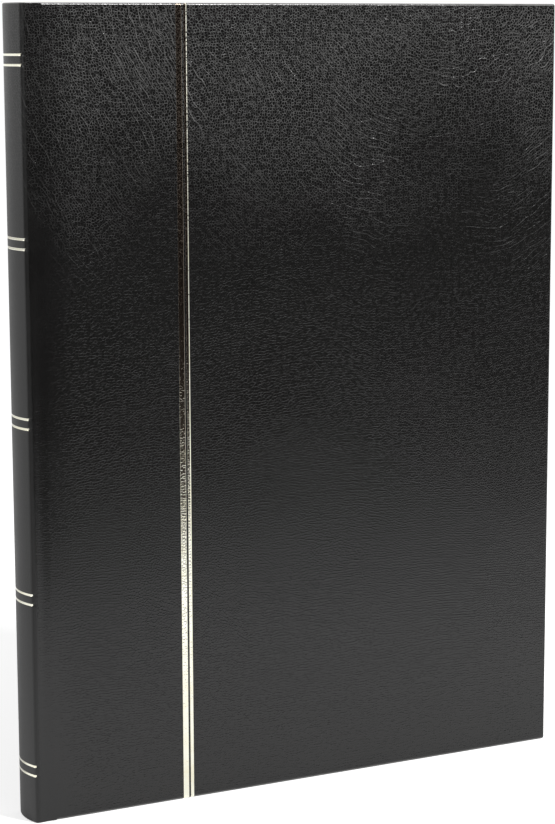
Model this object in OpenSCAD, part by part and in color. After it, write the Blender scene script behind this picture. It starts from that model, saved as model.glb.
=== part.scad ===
// Stamp album: a closed hard-cover stockbook standing on its lower edge.
// The spine lies towards -X, the fore edge towards +X and the front cover
// faces -Y. Z runs up the album. Millimetres.

/* [Album] */
// Width of the covers, from the back of the spine to the fore edge
album_w = 230; // [190:1:260]
// Height of the covers
album_h = 305; // [240:1:330]

/* [Case] */
// Thickness of the cover boards
board_t = 2.2; // [1.8:0.1:2.5]
// Thickness of the leatherette
skin_t = 0.3; // [0.2:0.05:0.4]
// Thickness of the paper pasted inside the covers
paste_t = 0.2; // [0.1:0.05:0.25]
// Width of the leatherette turned in behind the board
turn_in = 15; // [10:1:22]
// Border of turned-in leatherette left bare around the paper
turn_border = 3.5; // [2:0.5:6]
// Rise of the rounded spine over its two shoulders
spine_bulge = 1.8; // [1.2:0.1:2.4]
// Thickness of the curved stiffener in the spine
spine_t = 1.4; // [1:0.1:1.8]
// Distance of the cover boards from the back of the spine
board_x = 9.6; // [6.2:0.1:12]
// Depth of the pressed groove between spine and board
groove_d = 0.5; // [0.3:0.05:0.6]
// Rounding of the leatherette along the edges of a cover
edge_r = 0.9; // [0.6:0.05:1.3]
// Rounding of the two corners of a cover at the fore edge
corner_r = 1.2; // [0.9:0.1:4]
// Rounding of the spine's shoulders
shoulder_r = 1.1; // [0.8:0.1:1.6]

/* [Gold lines] */
// Thickness of the stamped gold foil
foil_t = 0.1; // [0.05:0.01:0.15]
// Distance of the wide gold line from the back of the spine
wide_line_x = 62.8; // [40:0.1:90]
// Width of the wide gold line
wide_line_w = 2.3; // [1:0.1:4]
// Plain gap between the wide and the narrow line
line_gap = 0.8; // [0.5:0.1:2]
// Width of the narrow gold line
narrow_line_w = 1.3; // [0.6:0.1:3]
// Number of double bands across the spine
band_n = 5; // [3:1:6]
// Height of the middle of the lowest double band
band_z = 20.3; // [15:0.1:30]
// Height of one gold line of a band
band_w = 1; // [0.6:0.1:2]
// Distance between the two lines of a band, middle to middle
band_pitch = 3.7; // [2.5:0.1:6]

/* [Leaves] */
// Thickness of the black card of a leaf
card_t = 0.6; // [0.4:0.05:0.7]
// Thickness of one clear strip
film_t = 0.12; // [0.08:0.01:0.14]
// Thickness of the linen hinge on each face of a leaf
linen_t = 0.12; // [0.08:0.01:0.14]
// Thickness of the grey strip on each side of a glassine stub
spacer_t = 0.22; // [0.16:0.01:0.6]
// Thickness of a glassine sheet between two leaves
glassine_t = 0.12; // [0.08:0.01:0.16]
// Distance of the leaves from the edges of the covers
leaf_recess = 4; // [2:0.5:7]
// Width of the guards that the leaves hang on
guard_w = 12; // [9:0.5:18]
// Width of the linen seen on a leaf
linen_w = 10; // [7:0.5:14]
// Width of the bare linen between the turning line and the card
neck_w = 1.8; // [1.6:0.1:3]
// Number of clear strips on a page
strip_n = 9; // [6:1:12]
// Bare card between two strips
strip_gap = 3; // [2:0.5:5]
// Bare card above, below and beside the strips
strip_margin = 5; // [3:0.5:9]

/* [Hidden] */
// leaves, and the clearances that keep neighbours apart
leaf_n = 8;
side_clear = 0.38;   // first and last leaf to the paper in the covers
block_clear = 0.12;  // guard block to the paper in the covers
hollow_clear = 0.1;  // lining to the spine turn-ins
hinge_half = 1.1;    // leaf linen to its turning line
hinge_room = 0.6;    // guard block to the turning lines
strip_clear = 1;     // clear strips to the linen
sheet_in = 1;        // glassine inside the edges of the leaves
fold_half = 0.3;     // leatherette to the turning line of a cover
swing_clear = 0.15;  // turning line of a cover outside its face

// the stack of leaves sets the thickness of the closed album
leaf_t = card_t + 2 * max(film_t, linen_t);
pitch = card_t + 2 * linen_t + glassine_t + 2 * spacer_t;
stack_half = ((leaf_n - 1) * pitch + leaf_t) / 2;
cover_t = 2 * skin_t + board_t + paste_t;
room = stack_half + side_clear;          // from the middle to the paper
half_d = room + cover_t;
x0 = -album_w / 2;

// spine arc, with its centre on the middle plane
spine_r = (half_d * half_d + spine_bulge * spine_bulge) / (2 * spine_bulge);
spine_cx = x0 + spine_r;
spine_in_r = spine_r - skin_t - spine_t;
turn_r = spine_in_r - skin_t;
// middle of the rounding at a shoulder, touching the arc and the face
shoulder_y = half_d - shoulder_r;
shoulder_x = spine_cx - sqrt(pow(spine_r - shoulder_r, 2) - shoulder_y * shoulder_y);
touch_a = 180 + asin(shoulder_y / (spine_r - shoulder_r));
shoulder_end = spine_cx - sqrt(pow(spine_in_r, 2) - pow(half_d - skin_t, 2)) + skin_t;
stiff_end = shoulder_end - 2 * skin_t;   // cut edge of the stiffener

// turning lines of the covers, and the arc of the pressed groove
cover_x = x0 + board_x;
cover_hinge_x = (shoulder_end + cover_x) / 2;
cover_hinge_y = half_d + swing_clear;
groove_half = (cover_x - shoulder_end) / 2;
groove_r = (groove_half * groove_half + groove_d * groove_d) / (2 * groove_d);

groove_c = [cover_hinge_x, groove_d - groove_r - half_d];
groove_a = asin(groove_half / groove_r);
lip_a = asin(fold_half / groove_r);

// leaves and glassine sheets, front to back
block_half = room - block_clear;
paper_stub_t = block_half - stack_half;
lining_t = skin_t;
lining_x = spine_cx - sqrt(turn_r * turn_r - block_half * block_half) + hollow_clear;
block_x = lining_x + lining_t;
block_end = block_x + guard_w;
leaf_hinge_x = block_end + hinge_room;
leaf_end = x0 + album_w - leaf_recess;
leaf_z = leaf_recess;
leaf_h = album_h - 2 * leaf_recess;
neck_x = leaf_hinge_x + hinge_half;
linen_x = neck_x + neck_w;
linen_end = linen_x + linen_w;
strip_x = linen_end + strip_clear;
strip_w = leaf_end - strip_margin - strip_x;
strip_pitch = (leaf_h - 2 * strip_margin + strip_gap) / strip_n;
strip_h = strip_pitch - strip_gap;
narrow_line_x = wide_line_x + wide_line_w + line_gap;
band_step = (album_h - 2 * band_z) / (band_n - 1);
card_x = linen_x + 2 * linen_t;
paste_end = x0 + album_w - turn_border;
board_in = half_d - skin_t - board_t;    // from the middle to the board
fold_in = board_in - skin_t;             // from the middle to the turn-ins

leather = "#1f1f20";
gold = "#d8c27a";
greyboard = "#8d867b";
black_card = "#17171a";
linen = "#26262a";
clear_film = [0.86, 0.9, 0.93, 0.35];
glassine = [0.93, 0.92, 0.86, 0.8];
endpaper = "#1b1b1d";

function leaf_y(k) = (k - (leaf_n + 1) / 2) * pitch;
function sheet_y(k) = leaf_y(k) + pitch / 2;

// a box given by its low corner and its high corner
module span(a, b) {
    translate(a) cube(b - a);
}

// ---- section of the case, seen from above ----

// points on an arc from one angle to another
function arc(centre, r, from, to, steps) =
    [for (i = [0:steps]) let (a = from + (to - from) * i / steps)
        centre + r * [cos(a), sin(a)]];

function turned(path) = [for (i = [len(path) - 1:-1:0]) path[i]];
function mirrored(path) = [for (p = path) [p[0], -p[1]]];
// a path on the front side, carried round to the back side
function round_back(path) = concat(turned(path), mirrored(path));

// middle of the spine to the end of a shoulder, set in from the face
function shoulder_path(inset) = concat(
    arc([spine_cx, 0], spine_r - inset, 180, touch_a, 16),
    arc([shoulder_x, -shoulder_y], shoulder_r - inset, touch_a, 270, 8));

// the pressed groove, from the spine's shoulder to its turning line
function groove_path(inset) =
    arc(groove_c, groove_r + inset, 90 + groove_a, 90 + lip_a, 6);

// a layer of the spine between two depths, from shoulder to shoulder
module spine_layer(outer, inner) {
    polygon(concat(round_back(shoulder_path(outer)), turned(round_back(shoulder_path(inner)))));
}

// leatherette of the spine, down into the grooves on both sides
module spine_skin_plan() {
    polygon(concat(
        round_back(concat(shoulder_path(0), groove_path(0))),
        turned(round_back(concat(shoulder_path(skin_t), groove_path(skin_t))))));
}

// the other half of the front groove, with a tail over the cover board
module cover_groove_plan() {
    polygon(concat(
        arc(groove_c, groove_r, 90 - lip_a, 90 - groove_a, 6),
        [[cover_x + edge_r, -half_d], [cover_x + edge_r, skin_t - half_d]],
        arc(groove_c, groove_r + skin_t, 90 - groove_a, 90 - lip_a, 6)));
}

// where an arc behind the stiffener reaches its cut edge
function stiff_a(r) = 180 + acos((spine_cx - stiff_end) / r);

// plan between the face of the stiffener and an arc behind it
module stiffener_plan(outer, inner_r) {
    polygon(concat(
        round_back(concat(shoulder_path(outer), [[stiff_end, outer - half_d]])),
        turned(round_back(arc([spine_cx, 0], inner_r, 180, stiff_a(inner_r), 16)))));
}

// ---- spine of the case ----

module spine_board() {
    color(greyboard) translate([0, 0, skin_t]) linear_extrude(album_h - 2 * skin_t)
        stiffener_plan(skin_t, spine_in_r);
}

// a turn-in behind an end of the spine, closed over the board's edge
module spine_turn_in() {
    linear_extrude(skin_t) stiffener_plan(skin_t, turn_r);
    linear_extrude(turn_in) polygon(concat(
        round_back(arc([spine_cx, 0], spine_in_r, 180, stiff_a(spine_in_r), 16)),
        turned(round_back(arc([spine_cx, 0], turn_r, 180, stiff_a(turn_r), 16)))));
}

module spine_leatherette() {
    color(leather) difference() {
        union() {
            linear_extrude(album_h) spine_skin_plan();
            spine_turn_in();
            translate([0, 0, album_h]) mirror([0, 0, 1]) spine_turn_in();
        }
        bands();
    }
}

// the stamped double bands, also sunk in the leatherette
module bands() {
    for (i = [0:band_n - 1], s = [-1, 1])
        translate([0, 0, band_z + i * band_step + s * band_pitch / 2 - band_w / 2])
            linear_extrude(band_w) spine_layer(0, foil_t);
}

module spine_gold_bands() {
    color(gold) bands();
}

module spine_lining() {
    color(linen) span([lining_x, -block_half, leaf_z],
        [block_x, block_half, leaf_z + leaf_h]);
}

// ---- guard block that the leaves hang on ----

module guard_strips() {
    color(black_card) for (k = [1:leaf_n])
        span([block_x, leaf_y(k) - card_t / 2, leaf_z],
            [block_end - linen_t, leaf_y(k) + card_t / 2, leaf_z + leaf_h]);
}

// linen folded round the front edge of each guard
module guard_linen() {
    half = card_t / 2 + linen_t;
    color(linen) for (k = [1:leaf_n]) difference() {
        span([block_x, leaf_y(k) - half, leaf_z],
            [block_end, leaf_y(k) + half, leaf_z + leaf_h]);
        span([block_x - 1, leaf_y(k) - card_t / 2, leaf_z - 1],
            [block_end - linen_t, leaf_y(k) + card_t / 2, leaf_z + leaf_h + 1]);
    }
}

module spacer_strips() {
    color(greyboard) for (k = [1:leaf_n - 1], s = [0, 1]) {
        y = sheet_y(k) + (s == 0 ? -glassine_t / 2 - spacer_t : glassine_t / 2);
        span([block_x, y, leaf_z], [block_end, y + spacer_t, leaf_z + leaf_h]);
    }
}

module interleaf_stubs() {
    color(glassine) for (k = [1:leaf_n - 1])
        span([block_x, sheet_y(k) - glassine_t / 2, leaf_z + sheet_in],
            [block_end, sheet_y(k) + glassine_t / 2, leaf_z + leaf_h - sheet_in]);
}

module endpaper_stub() {
    color(endpaper) span([block_x, -block_half, leaf_z],
        [block_end, -block_half + paper_stub_t, leaf_z + leaf_h]);
}

module front_endpaper_stub() {
    endpaper_stub();
}

module back_endpaper_stub() {
    mirror([0, 1, 0]) endpaper_stub();
}

// ---- covers, drawn on the front side ----

// a rectangle with rounded corners, given by its low and its high corner
module round_rect(a, b, r) {
    for (x = [a[0] + r, b[0] - r], y = [a[1] + r, b[1] - r])
        translate([x, y]) circle(r = r, $fn = 48);
    translate([a[0] + r, a[1]]) square([b[0] - a[0] - 2 * r, b[1] - a[1]]);
    translate([a[0], a[1] + r]) square([b[0] - a[0], b[1] - a[1] - 2 * r]);
}

// form of a cover, set in by a skin: its long edges are rounded, and so are
// the two corners of its face at the fore edge
module cover_form(inset, left_x) {
    right_x = x0 + album_w - inset;
    low_y = inset - half_d;
    high_y = -fold_in - inset;
    top_z = album_h - inset;
    far_x = left_x - album_w;
    intersection() {
        linear_extrude(album_h)
            round_rect([left_x, low_y], [right_x, high_y], edge_r - inset);
        rotate([90, 0, 90]) translate([0, 0, far_x]) linear_extrude(3 * album_w)
            round_rect([low_y, inset], [high_y, top_z], edge_r - inset);
        rotate([90, 0, 0]) linear_extrude(2 * half_d)
            round_rect([far_x, inset], [right_x, top_z], corner_r - inset);
    }
}

module cover_board() {
    color(greyboard) cover_form(skin_t, cover_x);
}

// leatherette round the board: face, three edges, turn-ins and groove
module cover_skin() {
    color(leather) union() {
        difference() {
            cover_form(0, cover_x - half_d);
            cover_form(skin_t, cover_x - album_w);
            span([cover_x - album_w, -half_d - 1, -1], [cover_x, half_d, album_h + 1]);
            span([cover_x - 1, -board_in, turn_in],
                [x0 + album_w - turn_in, half_d, album_h - turn_in]);
        }
        linear_extrude(album_h) cover_groove_plan();
    }
}

// paper over the turn-ins, filling the board between them
module cover_paper() {
    color(endpaper) {
        span([cover_x + edge_r, -board_in, turn_in],
            [x0 + album_w - turn_in, -room, album_h - turn_in]);
        span([cover_x + edge_r, -fold_in, turn_border],
            [paste_end, -room, album_h - turn_border]);
    }
}

module front_board() {
    cover_board();
}

module front_leatherette() {
    difference() {
        cover_skin();
        cover_lines();
    }
}

// one gold line down the front, following the rounded top and bottom edges
module gold_line(x, w) {
    intersection() {
        difference() {
            cover_form(0, cover_x);
            cover_form(foil_t, cover_x);
        }
        span([x0 + x, -half_d - 1, -1], [x0 + x + w, -fold_in - edge_r, album_h + 1]);
    }
}

module cover_lines() {
    color(gold) {
        gold_line(wide_line_x, wide_line_w);
        gold_line(narrow_line_x, narrow_line_w);
    }
}

module front_gold_lines() {
    cover_lines();
}

module front_pastedown() {
    cover_paper();
}

module back_board() {
    mirror([0, 1, 0]) cover_board();
}

module back_leatherette() {
    mirror([0, 1, 0]) cover_skin();
}

module back_pastedown() {
    mirror([0, 1, 0]) cover_paper();
}

// ---- leaves, numbered from the front ----

module leaf_card(k) {
    color(black_card) span([card_x, leaf_y(k) - card_t / 2, leaf_z],
        [leaf_end, leaf_y(k) + card_t / 2, leaf_z + leaf_h]);
}

// linen over both faces of the card, and its bare neck to the turning line
module leaf_linen(k) {
    half = card_t / 2 + linen_t;
    color(linen) translate([0, leaf_y(k), leaf_z]) linear_extrude(leaf_h)
        difference() {
            union() {
                translate([linen_x, -half]) square([linen_w, 2 * half]);
                translate([neck_x, -linen_t]) square([neck_w + linen_t, 2 * linen_t]);
            }
            translate([card_x, -card_t / 2]) square([linen_w, card_t]);
        }
}

// clear strips on both pages of a leaf
module leaf_strips(k) {
    color(clear_film) for (side = [-1, 1], i = [0:strip_n - 1]) {
        y = leaf_y(k) + (side < 0 ? -card_t / 2 - film_t : card_t / 2);
        z = leaf_z + strip_margin + i * strip_pitch;
        span([strip_x, y, z], [strip_x + strip_w, y + film_t, z + strip_h]);
    }
}

// glassine sheet behind leaf k
module interleaf(k) {
    color(glassine) span([neck_x, sheet_y(k) - glassine_t / 2, leaf_z + sheet_in],
        [leaf_end - sheet_in, sheet_y(k) + glassine_t / 2, leaf_z + leaf_h - sheet_in]);
}

module leaf_1_card() { leaf_card(1); }
module leaf_1_linen() { leaf_linen(1); }
module leaf_1_strips() { leaf_strips(1); }
module leaf_2_card() { leaf_card(2); }
module leaf_2_linen() { leaf_linen(2); }
module leaf_2_strips() { leaf_strips(2); }
module leaf_3_card() { leaf_card(3); }
module leaf_3_linen() { leaf_linen(3); }
module leaf_3_strips() { leaf_strips(3); }
module leaf_4_card() { leaf_card(4); }
module leaf_4_linen() { leaf_linen(4); }
module leaf_4_strips() { leaf_strips(4); }
module leaf_5_card() { leaf_card(5); }
module leaf_5_linen() { leaf_linen(5); }
module leaf_5_strips() { leaf_strips(5); }
module leaf_6_card() { leaf_card(6); }
module leaf_6_linen() { leaf_linen(6); }
module leaf_6_strips() { leaf_strips(6); }
module leaf_7_card() { leaf_card(7); }
module leaf_7_linen() { leaf_linen(7); }
module leaf_7_strips() { leaf_strips(7); }
module leaf_8_card() { leaf_card(8); }
module leaf_8_linen() { leaf_linen(8); }
module leaf_8_strips() { leaf_strips(8); }
module interleaf_1() { interleaf(1); }
module interleaf_2() { interleaf(2); }
module interleaf_3() { interleaf(3); }
module interleaf_4() { interleaf(4); }
module interleaf_5() { interleaf(5); }
module interleaf_6() { interleaf(6); }
module interleaf_7() { interleaf(7); }

spine_board();
spine_leatherette();
spine_gold_bands();
spine_lining();
guard_strips();
guard_linen();
spacer_strips();
interleaf_stubs();
front_endpaper_stub();
back_endpaper_stub();
front_board();
front_leatherette();
front_gold_lines();
front_pastedown();
back_board();
back_leatherette();
back_pastedown();
leaf_1_card();
leaf_1_linen();
leaf_1_strips();
leaf_2_card();
leaf_2_linen();
leaf_2_strips();
leaf_3_card();
leaf_3_linen();
leaf_3_strips();
leaf_4_card();
leaf_4_linen();
leaf_4_strips();
leaf_5_card();
leaf_5_linen();
leaf_5_strips();
leaf_6_card();
leaf_6_linen();
leaf_6_strips();
leaf_7_card();
leaf_7_linen();
leaf_7_strips();
leaf_8_card();
leaf_8_linen();
leaf_8_strips();
interleaf_1();
interleaf_2();
interleaf_3();
interleaf_4();
interleaf_5();
interleaf_6();
interleaf_7();
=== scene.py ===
import math
import bpy
import bmesh
from mathutils import Matrix, Vector, noise


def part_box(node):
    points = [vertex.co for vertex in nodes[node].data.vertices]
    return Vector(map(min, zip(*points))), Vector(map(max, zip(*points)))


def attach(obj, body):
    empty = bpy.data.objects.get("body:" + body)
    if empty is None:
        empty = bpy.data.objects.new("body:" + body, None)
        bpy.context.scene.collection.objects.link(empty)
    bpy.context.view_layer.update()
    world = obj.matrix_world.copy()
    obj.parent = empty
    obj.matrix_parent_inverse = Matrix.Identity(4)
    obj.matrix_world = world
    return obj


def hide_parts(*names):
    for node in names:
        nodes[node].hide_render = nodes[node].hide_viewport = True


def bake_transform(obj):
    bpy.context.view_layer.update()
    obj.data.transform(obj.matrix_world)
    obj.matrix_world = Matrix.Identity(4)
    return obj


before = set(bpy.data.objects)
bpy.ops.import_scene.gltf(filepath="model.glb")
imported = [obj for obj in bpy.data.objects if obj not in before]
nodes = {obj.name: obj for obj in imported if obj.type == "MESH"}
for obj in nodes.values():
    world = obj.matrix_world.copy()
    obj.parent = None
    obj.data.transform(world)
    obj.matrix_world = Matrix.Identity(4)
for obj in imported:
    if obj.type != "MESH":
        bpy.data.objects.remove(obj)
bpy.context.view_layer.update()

mm = 0.001

# A stamp album, closed and standing on its lower edge. Everything below is drawn in millimetres in the
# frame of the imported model; buildMesh turns it into metres.
albumSize = {
    "fore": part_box("front_leatherette")[1].x / mm,  # fore edge of the covers
    "face": -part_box("front_leatherette")[0].y / mm,  # middle plane to the face of a cover
    "top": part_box("front_leatherette")[1].z / mm,
    "boardStart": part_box("front_board")[0].x / mm,  # the boards begin beside the groove
    "foldIn": 5.9,  # middle plane to the leatherette turned in behind a board
    "paper": -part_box("front_pastedown")[1].y / mm,  # middle plane to the paper in a cover
}


def arcPoints(cx, cy, radius, fromDegrees, toDegrees, steps):
    turns = [math.radians(fromDegrees + (toDegrees - fromDegrees) * i / steps) for i in range(steps + 1)]
    return [(cx + radius * math.cos(a), cy + radius * math.sin(a)) for a in turns]


def easeStep(value, low, high):
    t = min(1.0, max(0.0, (value - low) / (high - low)))
    return t * t * (3 - 2 * t)


def buildMesh(name, points, faces, uvOf=None, marks=None, sharpFrom=40):
    # uvOf has one (u, v) in millimetres for each point, marks one value for each point under each name
    mesh = bpy.data.meshes.new(name)
    mesh.from_pydata([[c * mm for c in p] for p in points], [], faces)
    if uvOf:
        layer = mesh.uv_layers.new(name="skinMap")
        for loop in mesh.loops:
            layer.data[loop.index].uv = [c * mm for c in uvOf[loop.vertex_index]]
    for label, values in (marks or {}).items():
        mesh.attributes.new(label, "FLOAT", "POINT").data.foreach_set("value", values)
    shaped = bmesh.new()
    shaped.from_mesh(mesh)
    bmesh.ops.recalc_face_normals(shaped, faces=shaped.faces)
    shaped.to_mesh(mesh)
    shaped.free()
    for face in mesh.polygons:
        face.use_smooth = True
    mesh.set_sharp_from_angle(angle=math.radians(sharpFrom))
    made = bpy.data.objects.new(name, mesh)
    bpy.context.scene.collection.objects.link(made)
    return made


def gridFaces(rows, columns, start=0):
    # quads of a grid of points that were listed row by row
    corners = [start + r * columns + c for r in range(rows - 1) for c in range(columns - 1)]
    return [(k, k + 1, k + columns + 1, k + columns) for k in corners]


def slabFaces(rows, columns, start=0):
    # a closed thin slab between two grids of the same rows and columns, the second listed after the first
    count = rows * columns
    faces = gridFaces(rows, columns, start) + gridFaces(rows, columns, start + count)
    rim = (
        [c for c in range(columns)]
        + [r * columns + columns - 1 for r in range(1, rows)]
        + [(rows - 1) * columns + c for c in range(columns - 2, -1, -1)]
        + [r * columns for r in range(rows - 2, 0, -1)]
    )
    for i, a in enumerate(rim):
        b = rim[(i + 1) % len(rim)]
        faces.append((start + a, start + b, start + b + count, start + a + count))
    return faces


def buildSheet(name, outside, inside, sharpFrom=40):
    # a sheet of paper, linen or glassine between two grids of points
    points = [p for row in outside + inside for p in row]
    return buildMesh(name, points, slabFaces(len(outside), len(outside[0])), sharpFrom=sharpFrom)


def along(low, high, step):
    count = max(1, round((high - low) / step))
    return [low + (high - low) * i / count for i in range(count + 1)]


# small helpers for node trees

def feed(tree, made, feeds):
    # a value is either another node's output or a constant
    for key, value in feeds.items():
        if isinstance(value, bpy.types.NodeSocket):
            tree.links.new(value, made.inputs[key])
        else:
            made.inputs[key].default_value = value
    return made


def addNode(tree, kind, settings=None, feeds=None):
    made = tree.nodes.new("ShaderNode" + kind)
    for key, value in (settings or {}).items():
        setattr(made, key, value)
    return feed(tree, made, feeds or {})


def calc(tree, operation, a, b=0.0):
    return addNode(tree, "Math", {"operation": operation}, {0: a, 1: b}).outputs[0]


def fitRange(tree, value, low, high, toLow=0.0, toHigh=1.0):
    return addNode(
        tree, "MapRange", {"interpolation_type": "SMOOTHSTEP"},
        {"Value": value, "From Min": low, "From Max": high, "To Min": toLow, "To Max": toHigh},
    ).outputs["Result"]


def moveBy(tree, operation, a, b):
    # "SCALE" takes a number for b, the others take a vector
    key = "Scale" if operation == "SCALE" else 1
    return addNode(tree, "VectorMath", {"operation": operation}, {0: a, key: b}).outputs["Vector"]


def noiseAt(tree, vector, size, detail=2.0, roughness=0.5, output="Fac"):
    # size is the width of one blotch, in the units of the vector
    return addNode(
        tree, "TexNoise", {}, {"Vector": vector, "Scale": 1.0 / size, "Detail": detail, "Roughness": roughness}
    ).outputs[output]


def turned(tree, vector, degrees):
    return addNode(
        tree, "VectorRotate", {"rotation_type": "Z_AXIS"}, {"Vector": vector, "Angle": math.radians(-degrees)}
    ).outputs["Vector"]


def partOf(tree, vector, axis):
    return addNode(tree, "SeparateXYZ", {}, {0: vector}).outputs[axis]


def startGroup(name, takes, gives):
    tree = bpy.data.node_groups.new(name, "ShaderNodeTree")
    for label, kind, value in takes:
        socket = tree.interface.new_socket(label, in_out="INPUT", socket_type="NodeSocket" + kind)
        if value is not None:
            socket.default_value = value
    for label, kind in gives:
        tree.interface.new_socket(label, in_out="OUTPUT", socket_type="NodeSocket" + kind)
    return tree, tree.nodes.new("NodeGroupInput"), tree.nodes.new("NodeGroupOutput")


def useGroup(tree, group, feeds):
    return addNode(tree, "Group", {"node_tree": group}, feeds)


def startMaterial(name, constants):
    # constants go straight onto the shader's sockets
    made = bpy.data.materials.new(name)
    made.use_nodes = True
    tree = made.node_tree
    shader = tree.nodes["Principled BSDF"]
    for key, value in constants.items():
        shader.inputs[key].default_value = value
    return made, tree, shader


def mixColour(tree, amount, a, b):
    # sockets 6, 7 and 2 are the node's two colours and its colour out
    return addNode(tree, "Mix", {"data_type": "RGBA"}, {0: amount, 6: a, 7: b}).outputs[2]


def bumpOf(tree, shader, height, depth):
    # depth in metres, between the lowest and the highest value of height
    made = addNode(tree, "Bump", {}, {"Height": height, "Distance": depth, "Strength": 1.0})
    tree.links.new(made.outputs["Normal"], shader.inputs["Normal"])


def mapInMillimetres(tree):
    flat = addNode(tree, "UVMap", {"uv_map": "skinMap"}).outputs["UV"]
    return moveBy(tree, "SCALE", flat, 1000.0)


def objectInMillimetres(tree):
    spot = addNode(tree, "TexCoord").outputs["Object"]
    return moveBy(tree, "SCALE", spot, 1000.0)


# shared effects

grainShape = {
    "wander": 110.0, "sway": 17.0, "jitter": 1.3,  # sizes of the three ways in which the grain strays
    "pullFrom": (190.0, 335.0, 0.0),  # the skin was pulled from a place above the cover
    "levelTurn": 24.0,  # slope of the level creases, in degrees
    "edge": 0.42, "edgePower": 4.0,  # width and sharpness of the ridges between the cells
    "gaps": (0.36, 0.62, 0.36, 1.0),  # the ridges break up
    "highUp": (120.0, 250.0, 0.12, 1.0),  # creases are drawn mostly towards the head
    "valley": 0.55,  # how far a crease flattens the cells beside it, which in the leatherette also dims their painted highlight: a painted shade beside the crease
    # spacing, width, unevenness and length of three kinds of raised line
    "ringLines": (1.1, 0.20, 1.8, 5.0), "steepLines": (2.7, 0.06, 2.4, 7.0), "levelLines": (4.0, 0.04, 3.0, 4.0),
    # size, range and place of the patches where each kind is found
    "ringPatches": (26.0, 0.42, 0.62, (310.0, 40.0, 0.0)),
    "steepPatches": (48.0, 0.42, 0.60, (120.0, 90.0, 0.0)),
    "levelPatches": (36.0, 0.56, 0.70, (70.0, 520.0, 0.0)), "levelWeak": 0.45,
    "shares": {"net": 0.62, "rings": 0.22, "creases": 0.45, "valleys": -0.28, "swell": 0.30, "fine": 0.06},
}


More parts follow.
